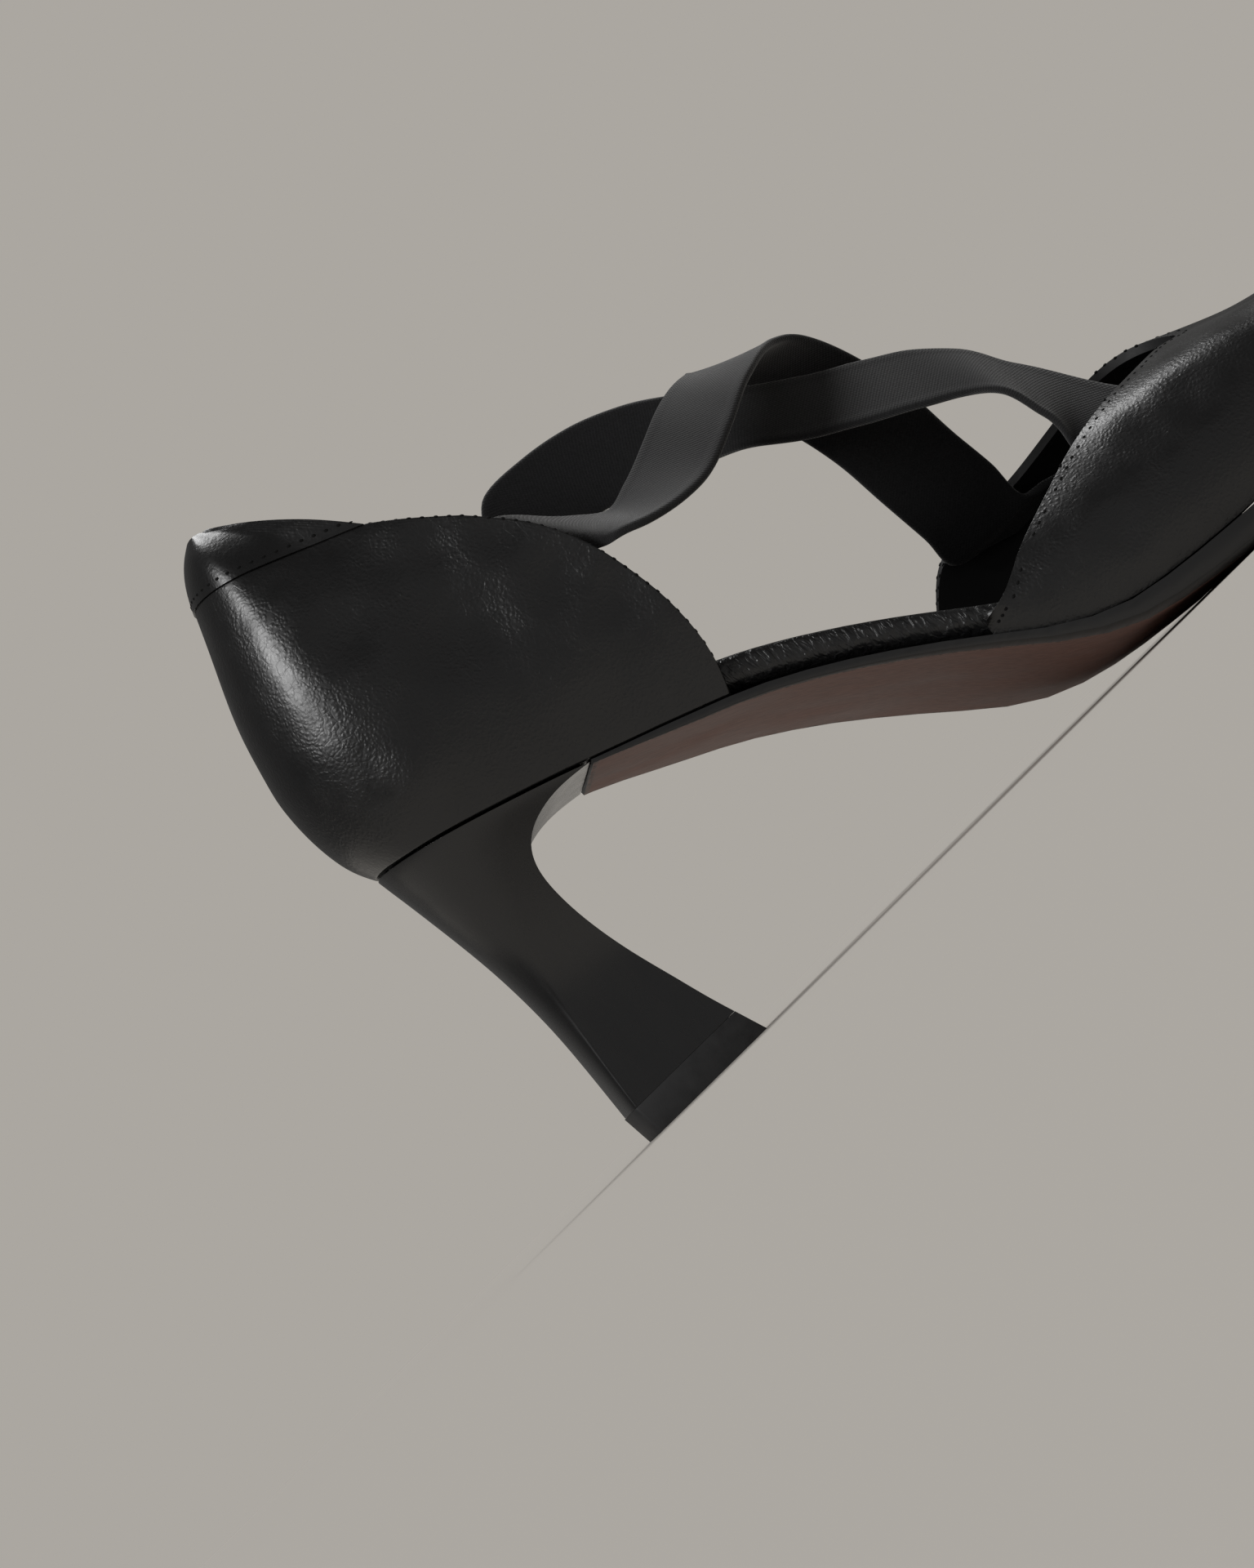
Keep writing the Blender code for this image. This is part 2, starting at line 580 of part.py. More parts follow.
def make_top_piece():
    """Rubber lift under the heel, carrying on its flare down to the ground."""
    top = heel_ring(0.0, TOP_PIECE_STEP)
    ground = top.copy()
    ends = [ground[:, 0].min(), ground[:, 0].max()]
    ground[:, 0] = np.interp(ground[:, 0], ends, [-HEEL_TIP_LENGTH / 2, HEEL_TIP_LENGTH / 2])
    ground[:, 1] *= HEEL_TIP_WIDTH / 2 / ground[:, 1].max()
    rings = [
        np.column_stack([ground, np.zeros(len(ground))]),
        np.column_stack([top, np.full(len(top), TOP_PIECE_HEIGHT)]),
    ]
    return finish_object("heel_top_piece", stacked(rings), (0.03, 0.03, 0.032), 0.7)


def make_quarter():
    """Heel cup up to the tab's seam."""
    levels = np.linspace(0, TAB_SEAM, CUP_ROWS)
    builder = wall_solid(cup_surface, levels, CUP_COLUMNS, 0.0, True)
    return finish_object("quarter", builder, (0.015, 0.015, 0.016), 0.35)


def make_tab():
    """Collar tab over the seam, standing a step proud of the cup."""
    seam_gap = FIT_GAP / CUP_RISE
    levels = np.linspace(TAB_SEAM + seam_gap, 1, TAB_ROWS)
    builder = wall_solid(cup_surface, levels, CUP_COLUMNS, TAB_STEP, False)
    return finish_object("heel_tab", builder, (0.015, 0.015, 0.016), 0.35)


def make_vamp():
    """Closed forepart from the feather edge to the throat."""
    levels = np.linspace(0, 1, VAMP_ROWS)
    builder = wall_solid(vamp_surface, levels, VAMP_COLUMNS, 0.0, True)
    return finish_object("vamp", builder, (0.015, 0.015, 0.016), 0.35)


def held_row(surface, place, level, across_levels, tuck):
    """Points across a strap sewn flat inside the upper, back edge to front edge, tucked in deeper at its edge."""
    step = NEARBY
    here = surface(np.array([place]), np.array([level]))[0]
    if across_levels:
        there = surface(np.array([place]), np.array([level + step]))[0]
    else:
        there = surface(np.array([place + step]), np.array([level]))[0]
    spread = STRAP_WIDTH / np.linalg.norm(there - here) * step
    offsets = np.linspace(0.5, -0.5, STRAP_LINES) * spread
    places = place + (0 if across_levels else offsets) + np.zeros(STRAP_LINES)
    levels = level + (offsets if across_levels else 0) + np.zeros(STRAP_LINES)
    depth = UPPER_WALL + FIT_GAP + STRAP_THICKNESS / 2 + tuck
    return surface(places, levels) - outward_normals(surface, places, levels) * depth


def free_row(row):
    """Points across a strap where it hangs free, from its back edge to its front edge."""
    edges = []
    for along, across, rise in (
        (row.back_along, row.back_across, row.back_rise),
        (row.front_along, row.front_across, row.front_rise),
    ):
        x = SEAT_BACK + along * LAST_LENGTH
        edges.append(np.array([x, across * BALL_WIDTH, feather_height(x, 0.0) + rise * STRAP_RISE]))
    back, front = edges
    centre = (back + front) / 2
    direction = (front - back) / np.linalg.norm(front - back)
    return centre + np.linspace(-0.5, 0.5, STRAP_LINES)[:, None] * direction * STRAP_WIDTH


def strap_solid(name, rows):
    """An elastic band of constant width and thickness through its rows of points."""
    rows = np.array(rows)
    places = np.linspace(0, 1, STRAP_STATIONS)
    lines = np.stack([spline(rows[:, k], places) for k in range(STRAP_LINES)], axis=1)
    centre = lines[:, STRAP_LINES // 2][:, None]
    width = np.linalg.norm(np.diff(lines, axis=1), axis=2).sum(axis=1)
    lines = centre + (lines - centre) * (STRAP_WIDTH / width)[:, None, None]
    normal = np.cross(np.gradient(lines, axis=1), np.gradient(lines, axis=0))
    normal /= np.linalg.norm(normal, axis=2, keepdims=True)
    builder = bmesh.new()
    sheets = [lines - normal * STRAP_THICKNESS / 2, lines + normal * STRAP_THICKNESS / 2]
    low, high = [[[builder.verts.new(p) for p in row] for row in sheet] for sheet in sheets]
    grid_faces(builder, low)
    grid_faces(builder, [row[::-1] for row in high])
    for row in (0, -1):
        grid_faces(builder, [low[row], high[row]])
        grid_faces(builder, [[line[row] for line in low], [line[row] for line in high]])
    return finish_object(name, builder, (0.012, 0.012, 0.013), 0.85)


def make_straps():
    """Two bands from the cup to the vamp, the upper one crossing over the lower and joined to it."""
    cup_tucks = list(zip(CUP_HOLD_DEPTHS, (0.0, STRAP_TUCK / 4, STRAP_TUCK / 2)))
    vamp_tucks = list(zip(VAMP_HOLD_DEPTHS, (STRAP_TUCK, STRAP_TUCK / 2, 0.0)))
    inner_cup = [held_row(cup_surface, -place, CUP_HOLD, True, tuck) for place, tuck in cup_tucks]
    outer_cup = [held_row(cup_surface, place, CUP_HOLD, True, tuck) for place, tuck in cup_tucks]
    outer_vamp = [held_row(vamp_surface, OUTER_HOLD, level, False, tuck) for level, tuck in vamp_tucks]
    inner_vamp = [held_row(vamp_surface, INNER_HOLD, level, False, tuck) for level, tuck in vamp_tucks]
    straps = strap_solid("crossed_straps", inner_cup + [free_row(row) for row in UPPER_STRAP] + outer_vamp)
    lower = strap_solid("lower_strap", outer_cup + [free_row(row) for row in LOWER_STRAP] + inner_vamp)
    lower.hide_render = True
    lower.display_type = "WIRE"
    join = straps.modifiers.new("join", "BOOLEAN")
    join.operation = "UNION"
    join.solver = "EXACT"
    join.object = lower
    return straps


def main():
    for old in list(bpy.data.objects):
        bpy.data.objects.remove(old)
    make_outsole()
    make_insole()
    make_heel()
    make_top_piece()
    make_quarter()
    make_tab()
    make_vamp()
    make_straps()


main()
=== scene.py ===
"""Looks of the left two-piece heeled sandal: black leather upper, crossed elastic bands, brown sole.

Units are metres. +X points to the toe, +Y to the outer side of the foot, +Z up, as in the frame.
"""

import json
import math

import bmesh
import bpy
import numpy as np
from mathutils import Matrix, Vector
from mathutils.bvhtree import BVHTree

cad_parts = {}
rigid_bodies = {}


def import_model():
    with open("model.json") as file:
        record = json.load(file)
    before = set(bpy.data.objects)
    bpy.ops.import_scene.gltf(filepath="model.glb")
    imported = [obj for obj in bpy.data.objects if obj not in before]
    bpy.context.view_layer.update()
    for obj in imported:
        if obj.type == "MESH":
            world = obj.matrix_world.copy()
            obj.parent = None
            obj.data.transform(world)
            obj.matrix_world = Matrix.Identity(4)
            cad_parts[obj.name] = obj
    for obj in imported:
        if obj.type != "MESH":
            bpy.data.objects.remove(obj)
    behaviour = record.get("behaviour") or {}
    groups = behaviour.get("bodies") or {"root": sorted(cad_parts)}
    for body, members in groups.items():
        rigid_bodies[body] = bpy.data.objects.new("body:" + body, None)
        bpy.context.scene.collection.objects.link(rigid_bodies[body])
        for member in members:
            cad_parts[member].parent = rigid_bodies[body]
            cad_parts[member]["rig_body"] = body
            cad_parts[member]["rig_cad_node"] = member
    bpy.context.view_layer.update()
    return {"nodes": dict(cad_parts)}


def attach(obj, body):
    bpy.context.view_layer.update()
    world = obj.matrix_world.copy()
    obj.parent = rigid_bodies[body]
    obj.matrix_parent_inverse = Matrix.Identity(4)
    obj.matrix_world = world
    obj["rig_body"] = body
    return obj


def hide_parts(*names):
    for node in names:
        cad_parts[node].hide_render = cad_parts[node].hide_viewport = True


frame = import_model()

MM = 0.001

# Camera: where it stands, the point shown in the frame's middle, and the roll of the shoe's length
EYE = Vector((-64.9, -757.7, 4.0)) * MM
AIM = Vector((25.2, -15.0, 46.2)) * MM
ROLL = math.radians(44.1)
LENS = 101.25

# Studio
BACKDROP = (0.408, 0.386, 0.355)
ROOM_FILL = (0.10, 0.098, 0.095)
FLOOR_RADIUS = 0.9
FLOOR_MIDDLE = (0.08, 0.0, 0.0)

# Upper
EDGE_FOLD = 0.55 * MM
STITCH_INSET = 1.9 * MM
STITCH_PITCH = 2.3 * MM
STITCH_SIZE = 0.34 * MM
SEAM_CLOSE = 0.27 * MM
TAB_FOLD = 0.4 * MM
TAB_STITCH_INSET = 0.9 * MM
CUP_RIM_BACK = 24 * MM
CUP_RIM_TOP = 109 * MM
THROAT_FOOT = 22.5 * MM
SEAM_BACK_HEIGHT = 120.9 * MM
SEAM_BACK = -6.3 * MM
SEAM_SLOPE = -0.375
GRAIN_DRIFT = 1.1 * MM

# Sole, heel and top piece
BORDER_WIDTH = 0.9 * MM
SOLE_ROUND = 0.3 * MM
HEEL_ROUND = 0.3 * MM
LIFT_ROUND = 0.2 * MM

# Elastic bands
BAND_WIDTH = 18.4 * MM
BAND_THICKNESS = 1.3 * MM


def deselect():
    if bpy.context.object and bpy.context.object.mode != "OBJECT":
        bpy.ops.object.mode_set(mode="OBJECT")
    bpy.ops.object.select_all(action="DESELECT")


def activate(piece):
    deselect()
    piece.select_set(True)
    bpy.context.view_layer.objects.active = piece


def copied_node(node, name):
    """A piece that starts as the CAD node's own mesh, merged and turned back into quads."""
    piece = frame["nodes"][node].copy()
    piece.data = piece.data.copy()
    piece.name = name
    piece.parent = None
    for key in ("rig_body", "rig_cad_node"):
        if key in piece:
            del piece[key]
    bpy.context.scene.collection.objects.link(piece)
    activate(piece)
    piece.data.materials.clear()
    bpy.ops.object.mode_set(mode="EDIT")
    bpy.ops.mesh.select_all(action="SELECT")
    bpy.ops.mesh.remove_doubles(threshold=0.00001)
    bpy.ops.mesh.tris_convert_to_quads(face_threshold=math.radians(60), shape_threshold=math.radians(60))
    bpy.ops.mesh.customdata_custom_splitnormals_clear()
    bpy.ops.object.mode_set(mode="OBJECT")
    return piece


def apply_modifier(piece, kind, **settings):
    activate(piece)
    modifier = piece.modifiers.new(kind.lower(), kind)
    for key, value in settings.items():
        setattr(modifier, key, value)
    bpy.ops.object.modifier_apply(modifier=modifier.name)


def round_edges(piece, width, angle=45.0, segments=3):
    apply_modifier(
        piece, "BEVEL", width=width, segments=segments, limit_method="ANGLE", angle_limit=math.radians(angle),
        use_clamp_overlap=True, harden_normals=False,
    )


def subdivide(piece, levels):
    apply_modifier(piece, "SUBSURF", levels=levels, render_levels=levels)


def smooth(piece, angle=None):
    activate(piece)
    if angle is None:
        bpy.ops.object.shade_smooth()
    else:
        bpy.ops.object.shade_smooth_by_angle(angle=math.radians(angle))


def settle(piece, nodes):
    """Hides the CAD nodes that a finished piece takes the place of, and makes the piece ride on the one body."""
    if nodes:
        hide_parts(*nodes)
    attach(piece, "root")


# Materials

class Paint:
    """A material under construction: its nodes are added one by one and linked by name."""

    def __init__(self, name, colour, roughness, coat=0.0, coat_roughness=0.2, specular=0.5, sheen=0.0):
        self.material = bpy.data.materials.new(name)
        self.material.use_nodes = True
        self.tree = self.material.node_tree
        self.shader = self.tree.nodes["Principled BSDF"]
        self.shader.inputs["Base Color"].default_value = (*colour, 1.0)
        self.shader.inputs["Roughness"].default_value = roughness
        self.shader.inputs["Coat Weight"].default_value = coat
        self.shader.inputs["Coat Roughness"].default_value = coat_roughness
        self.shader.inputs["Specular IOR Level"].default_value = specular
        self.shader.inputs["Sheen Weight"].default_value = sheen
        self.bump = None

    def add(self, kind, inputs=(), **settings):
        node = self.tree.nodes.new(kind)
        for key, value in settings.items():
            setattr(node, key, value)
        for key, value in dict(inputs).items():
            if isinstance(value, bpy.types.NodeSocket):
                self.tree.links.new(value, node.inputs[key])
            else:
                node.inputs[key].default_value = value
        return node

    def place(self, scale=(1, 1, 1), turn=(0, 0, 0), uv=False):
        source = self.add("ShaderNodeTexCoord").outputs["UV" if uv else "Object"]
        mapping = self.add("ShaderNodeMapping", {"Vector": source, "Scale": scale, "Rotation": turn})
        return mapping.outputs["Vector"]

    def noise(self, vector, scale, detail=4.0, roughness=0.55, distortion=0.0):
        inputs = {
            "Vector": vector, "Scale": scale, "Detail": detail, "Roughness": roughness, "Distortion": distortion,
        }
        return self.add("ShaderNodeTexNoise", inputs).outputs["Fac"]

    def cells(self, vector, scale, feature="F1", smoothness=0.3):
        node = self.add("ShaderNodeTexVoronoi", {"Vector": vector, "Scale": scale}, feature=feature)
        if feature == "SMOOTH_F1":
            node.inputs["Smoothness"].default_value = smoothness
        return node.outputs["Distance"]

    def ramp(self, value, stops, colours=False):
        node = self.add("ShaderNodeValToRGB", {"Fac": value})
        elements = node.color_ramp.elements
        while len(elements) < len(stops):
            elements.new(0.5)
        for element, (place, level) in zip(elements, stops):
            element.position = place
            element.color = (*level, 1.0) if colours else (level, level, level, 1.0)
        return node.outputs["Color"]

    def maths(self, operation, first, second=0.5):
        node = self.add("ShaderNodeMath", operation=operation)
        for socket, value in zip(node.inputs, (first, second)):
            if isinstance(value, bpy.types.NodeSocket):
                self.tree.links.new(value, socket)
            else:
                socket.default_value = value
        return node.outputs["Value"]

    def relief(self, height, depth, strength=1.0):
        """Adds a bump of a real depth on top of the bumps before it."""
        inputs = {"Height": height, "Distance": depth, "Strength": strength}
        if self.bump is not None:
            inputs["Normal"] = self.bump
        self.bump = self.add("ShaderNodeBump", inputs).outputs["Normal"]
        self.tree.links.new(self.bump, self.shader.inputs["Normal"])

    def drive(self, socket, value):
        self.tree.links.new(value, self.shader.inputs[socket])


def pebbled_leather(name, depth=1.0, gloss=0.0):
    """Black polished calf: small pebbles broken by fine creases, glossier on its crests."""
    paint = Paint(name, (0.0075, 0.0075, 0.0080), 0.36, coat=0.25, coat_roughness=0.22)
    place = paint.place()
    sway = paint.noise(place, 160.0, 3.0)
    drifted = paint.add("ShaderNodeVectorMath", {0: place}, operation="ADD")
    drift = paint.add("ShaderNodeTexNoise", {"Vector": place, "Scale": 420.0, "Detail": 2.0})
    shift = paint.add("ShaderNodeVectorMath", {0: drift.outputs["Color"]}, operation="SCALE")
    shift.inputs["Scale"].default_value = GRAIN_DRIFT
    paint.tree.links.new(shift.outputs["Vector"], drifted.inputs[1])
    pebble = paint.cells(drifted.outputs["Vector"], 1450.0, "SMOOTH_F1", 0.35)
    pebble = paint.ramp(pebble, ((0.0, 1.0), (0.62, 0.12), (1.0, 0.0)))
    crease = paint.cells(drifted.outputs["Vector"], 520.0, "DISTANCE_TO_EDGE")
    crease = paint.ramp(crease, ((0.0, 0.0), (0.09, 1.0)))
    patch = paint.ramp(sway, ((0.38, 0.35), (0.66, 1.0)))
    paint.relief(paint.noise(place, 60.0, 1.0), 1.2 * MM * depth, 0.16)
    paint.relief(crease, 0.06 * MM * depth, 0.22)
    paint.relief(paint.maths("MULTIPLY", pebble, patch), 0.10 * MM * depth, 0.80)
    rough = paint.ramp(sway, ((0.30, 0.30 - gloss), (0.70, 0.44 - gloss)))
    worn = paint.maths("MULTIPLY", pebble, -0.07)
    paint.drive("Roughness", paint.maths("ADD", rough, worn))
    return paint.material


def lining_leather():
    """Smooth matte black lining."""
    paint = Paint("black_lining", (0.012, 0.012, 0.0125), 0.58)
    place = paint.place()
    paint.relief(paint.noise(place, 1500.0, 3.0), 0.05 * MM, 0.5)
    paint.drive("Roughness", paint.ramp(paint.noise(place, 140.0), ((0.3, 0.5), (0.7, 0.66))))
    return paint.material


def rim_leather():
    """Footbed leather, its rim squeezed into short upright wrinkles."""
    paint = Paint("footbed_leather", (0.008, 0.008, 0.0085), 0.33, coat=0.2, coat_roughness=0.25)
    place = paint.place((1.0, 1.0, 0.30))
    wrinkle = paint.noise(place, 1150.0, 2.0, 0.45, 0.6)
    long_way = paint.place((0.5, 0.5, 1.0))
    fold = paint.noise(long_way, 620.0, 2.0)
    paint.relief(fold, 0.35 * MM, 0.35)
    paint.relief(paint.ramp(wrinkle, ((0.36, 0.0), (0.62, 1.0))), 0.24 * MM, 0.75)
    paint.drive("Roughness", paint.ramp(wrinkle, ((0.3, 0.46), (0.7, 0.27))))
    return paint.material


def sole_leather():
    """Reddish brown sole leather with fine streaks along its length and a few rubbed marks."""
    paint = Paint("brown_sole_leather", (0.19, 0.09, 0.068), 0.62)
    streak = paint.noise(paint.place((0.06, 1.0, 1.0)), 900.0, 5.0)
    cloud = paint.noise(paint.place((0.5, 1.0, 1.0)), 60.0, 4.0)
    fibre = paint.noise(paint.place(), 1900.0, 3.0)
    base = paint.ramp(streak, ((0.30, (0.150, 0.068, 0.050)), (0.72, (0.235, 0.118, 0.090))), True)
    shade = paint.ramp(cloud, ((0.35, (0.82, 0.78, 0.76)), (0.65, (1.08, 1.08, 1.08))), True)
    node = paint.add("ShaderNodeMix", data_type="RGBA", blend_type="MULTIPLY")
    node.inputs[0].default_value = 1.0
    paint.tree.links.new(base, node.inputs[6])
    paint.tree.links.new(shade, node.inputs[7])
    paint.drive("Base Color", node.outputs[2])
    paint.relief(streak, 0.08 * MM, 0.4)
    paint.relief(fibre, 0.04 * MM, 0.4)
    paint.drive("Roughness", paint.ramp(cloud, ((0.3, 0.52), (0.7, 0.68))))
    return paint.material


def sole_border():
    """The rubbed strip between the brown face and the inked edge, where the ink has bled in."""
    paint = Paint("sole_border", (0.12, 0.06, 0.045), 0.6)
    bleed = paint.noise(paint.place(), 1100.0, 5.0, 0.7)
    mix = paint.ramp(bleed, ((0.40, (0.022, 0.017, 0.016)), (0.58, (0.245, 0.140, 0.112))), True)
    paint.drive("Base Color", mix)
    paint.relief(bleed, 0.06 * MM, 0.4)
    return paint.material


def inked_edge():
    """Black edge ink, satin, over the sole's cut layers."""
    paint = Paint("inked_edge", (0.009, 0.009, 0.0095), 0.34, coat=0.3, coat_roughness=0.2)
    layers = paint.noise(paint.place((0.12, 0.12, 1.0)), 1300.0, 3.0)
    paint.relief(layers, 0.07 * MM, 0.4)
    paint.drive("Roughness", paint.ramp(layers, ((0.3, 0.28), (0.7, 0.42))))
    return paint.material


def heel_lacquer():
    """Satin black moulded heel, faintly uneven, with soft scuffs."""
    paint = Paint("heel_lacquer", (0.0085, 0.0085, 0.0090), 0.25, coat=0.35, coat_roughness=0.16)
    place = paint.place()
    wave = paint.noise(place, 70.0, 2.0)
    dust = paint.noise(place, 2600.0, 2.0)
    scuff = paint.noise(paint.place((1.0, 1.0, 0.25)), 260.0, 5.0, 0.7)
    paint.relief(wave, 0.5 * MM, 0.12)
    paint.relief(dust, 0.015 * MM, 0.35)
    paint.drive("Roughness", paint.ramp(scuff, ((0.35, 0.21), (0.75, 0.36))))
    return paint.material


def rubber():
    """Matte dark grey rubber with moulding grain and a rubbed look."""
    paint = Paint("top_piece_rubber", (0.020, 0.020, 0.021), 0.7)
    place = paint.place()
    grain = paint.noise(place, 2400.0, 3.0)
    rub = paint.noise(place, 320.0, 5.0)
    paint.relief(grain, 0.05 * MM, 0.5)
    tone = paint.ramp(rub, ((0.35, (0.014, 0.014, 0.015)), (0.7, (0.032, 0.032, 0.033))), True)
    paint.drive("Base Color", tone)
    paint.drive("Roughness", paint.ramp(rub, ((0.3, 0.6), (0.7, 0.82))))
    return paint.material


def elastic():
    """Woven black elastic: fine cross ribs and lengthwise cords, read from the band's UV map in millimetres."""
    paint = Paint("black_elastic", (0.0095, 0.0095, 0.0105), 0.86, specular=0.25, sheen=0.35)
    place = paint.place(uv=True)
    parts = paint.add("ShaderNodeSeparateXYZ", {"Vector": place})
    along = paint.maths("SINE", paint.maths("MULTIPLY", parts.outputs["X"], math.tau * 1.7))
    across = paint.maths("SINE", paint.maths("MULTIPLY", parts.outputs["Y"], math.tau * 1.25))
    weave = paint.maths("MULTIPLY", along, across)
    fuzz = paint.noise(paint.place(), 2600.0, 3.0)
    paint.relief(weave, 0.07 * MM, 0.5)
    paint.relief(fuzz, 0.09 * MM, 0.55)
    tone = paint.ramp(fuzz, ((0.3, (0.0060, 0.0060, 0.0068)), (0.7, (0.0140, 0.0140, 0.0152))), True)
    paint.drive("Base Color", tone)
    return paint.material


def thread():
    paint = Paint("black_thread", (0.004, 0.004, 0.004), 0.8, specular=0.2)
    twist = paint.noise(paint.place(), 4000.0, 2.0)
    paint.relief(twist, 0.03 * MM, 0.5)
    return paint.material


LEATHER = pebbled_leather("black_pebbled_leather")
TAB_LEATHER = pebbled_leather("black_tab_leather", 0.55, 0.03)
LINING = lining_leather()
FOOTBED = rim_leather()
SOLE = sole_leather()
BORDER = sole_border()
INK = inked_edge()
LACQUER = heel_lacquer()
RUBBER = rubber()
ELASTIC = elastic()
THREAD = thread()


def assign_faces(piece, material, chosen):
    """Gives the faces that chosen(centre, normal) picks a material of their own."""
    activate(piece)
    piece.data.materials.append(material)
    index = len(piece.data.materials) - 1
    for face in piece.data.polygons:
        if chosen(face.center, face.normal):
            face.material_index = index


# Upper

def sharp_loops(piece, angle=50.0):
    """Closed lines of the sharp edges of a mesh, the longest first."""
    mesh = bmesh.new()
    mesh.from_mesh(piece.data)
    limit = math.radians(angle)
    mesh.edges.index_update()
    sharp = {e.index: e for e in mesh.edges if len(e.link_faces) == 2 and e.calc_face_angle() > limit}
    loops = []
    while sharp:
        edge = sharp.pop(next(iter(sharp)))
        chain = [edge.verts[0], edge.verts[1]]
        grown = True
        while grown:
            grown = False
            for other in chain[-1].link_edges:
                if sharp.pop(other.index, None):
                    chain.append(other.other_vert(chain[-1]))
                    grown = True
                    break
        loops.append([v.co.copy() for v in chain])
    mesh.free()
    return sorted(loops, key=lambda points: -sum((a - b).length for a, b in zip(points, points[1:])))


def evenly(points, pitch):
    """Points at an even pitch along a line, with their directions."""
    lengths = [0.0]
    for a, b in zip(points, points[1:]):
        lengths.append(lengths[-1] + (b - a).length)
    count = int(lengths[-1] / pitch)
    placed = []
    k = 0
    for step in range(count + 1):
        at = step * pitch
        while k < len(points) - 2 and lengths[k + 1] < at:
            k += 1
        run = max(lengths[k + 1] - lengths[k], 1e-9)
        spot = points[k].lerp(points[k + 1], (at - lengths[k]) / run)
        placed.append((spot, (points[k + 1] - points[k]).normalized()))
    return placed


def surface_of(piece):
    mesh = bmesh.new()
    mesh.from_mesh(piece.data)
    tree = BVHTree.FromBMesh(mesh)
    mesh.free()
    return tree


def stitch_row(name, piece, line, inset):
    """Stitch holes with a short thread in each, one row at an even pitch beside a folded edge."""
    tree = surface_of(piece)
    holes = []
    for point, direction in evenly(line, STITCH_PITCH):
        spot, normal, _, _ = tree.find_nearest(point)
        best = None
        for side in (1, -1):
            guess = point + normal.cross(direction).normalized() * side * inset
            hit, hit_normal, _, distance = tree.find_nearest(guess)
            if best is None or distance < best[0]:
                best = (distance, hit, hit_normal)
        _, hit, hit_normal = best
        bpy.ops.mesh.primitive_uv_sphere_add(segments=8, ring_count=5, radius=STITCH_SIZE)
        hole = bpy.context.object
        sideways = hit_normal.cross(direction).normalized()
        turn = Matrix((direction, sideways, direction.cross(sideways))).transposed().to_4x4()
        squash = Matrix.Diagonal((1.25, 0.85, 0.42, 1.0))
        hole.data.transform(Matrix.Translation(hit) @ turn @ squash)
        holes.append(hole)
    deselect()
    for hole in holes:
        hole.select_set(True)
    bpy.context.view_layer.objects.active = holes[0]
    bpy.ops.object.join()
    row = bpy.context.object
    row.name = name
    row.data.materials.clear()
    row.data.materials.append(THREAD)
    smooth(row)
    settle(row, ())
    return row


def foot_side(centre, normal):
    """Whether a face of the upper looks at the foot."""
    middle = Vector((min(max(centre.x, 10 * MM), 190 * MM), 0.0, centre.z - 4 * MM))
    away = centre - middle
    return normal.dot(away) < 0


def press(piece, points, push, reach):
    """Pushes the places nearest to some points, softly over a reach, as a thumb would."""
    activate(piece)
    coordinates = np.array([v.co for v in piece.data.vertices])
    bpy.ops.object.mode_set(mode="EDIT")
    bpy.ops.mesh.select_mode(type="VERT")
    bpy.ops.mesh.select_all(action="DESELECT")
    bpy.ops.object.mode_set(mode="OBJECT")
    for point in points:
        nearest = int(np.argmin(np.linalg.norm(coordinates - np.array(point) * MM, axis=1)))
        piece.data.vertices[nearest].select = True
    bpy.ops.object.mode_set(mode="EDIT")
    bpy.ops.transform.translate(
        value=Vector(push) * MM, use_proportional_edit=True, proportional_edit_falloff="SMOOTH",
        proportional_size=reach * MM,
    )
    bpy.ops.object.mode_set(mode="OBJECT")


def nudge(piece, chosen, shift):
    """Moves the vertices that chosen(place) picks."""
    activate(piece)
    bpy.ops.object.mode_set(mode="EDIT")
    bpy.ops.mesh.select_mode(type="VERT")
    bpy.ops.mesh.select_all(action="DESELECT")
    bpy.ops.object.mode_set(mode="OBJECT")
    for vertex in piece.data.vertices:
        vertex.select = chosen(vertex.co)
    bpy.ops.object.mode_set(mode="EDIT")
    bpy.ops.transform.translate(value=shift)
    bpy.ops.object.mode_set(mode="OBJECT")


def on_seam(point):
    """Whether a rim point of the tab lies on its lower seam, which falls from the back to the front."""
    seam = SEAM_BACK_HEIGHT + SEAM_SLOPE * (point.x - SEAM_BACK)
    return abs(point.z - seam) < 1.5 * MM


# Dents and creases of the heel cup and the vamp in millimetres: the places pushed, how far, and their reach
CUP_DENTS = (
    (((22, -24, 84),), (0.2, 1.3, 0.0), 13),
    (((40, -26, 78), (46, -26, 70)), (0.0, 0.9, 0.0), 9),
    (((8, -19, 96),), (0.4, 0.9, 0.0), 9),
    (((30, -24, 98), (38, -23, 92)), (0.0, 0.8, -0.2), 8),
    (((2, -20, 72),), (-0.5, -0.6, 0.0), 11),
    (((30, -25, 66),), (0.0, -0.5, 0.0), 10),
    (((-9, -14, 62),), (-0.3, -0.3, 0.0), 8),
    (((30, 26, 82),), (0.0, -1.0, 0.0), 12),
    (((8, 20, 98),), (0.3, -0.7, 0.0), 9),
    (((46, 26, 60),), (0.0, -0.6, 0.0), 9),
)
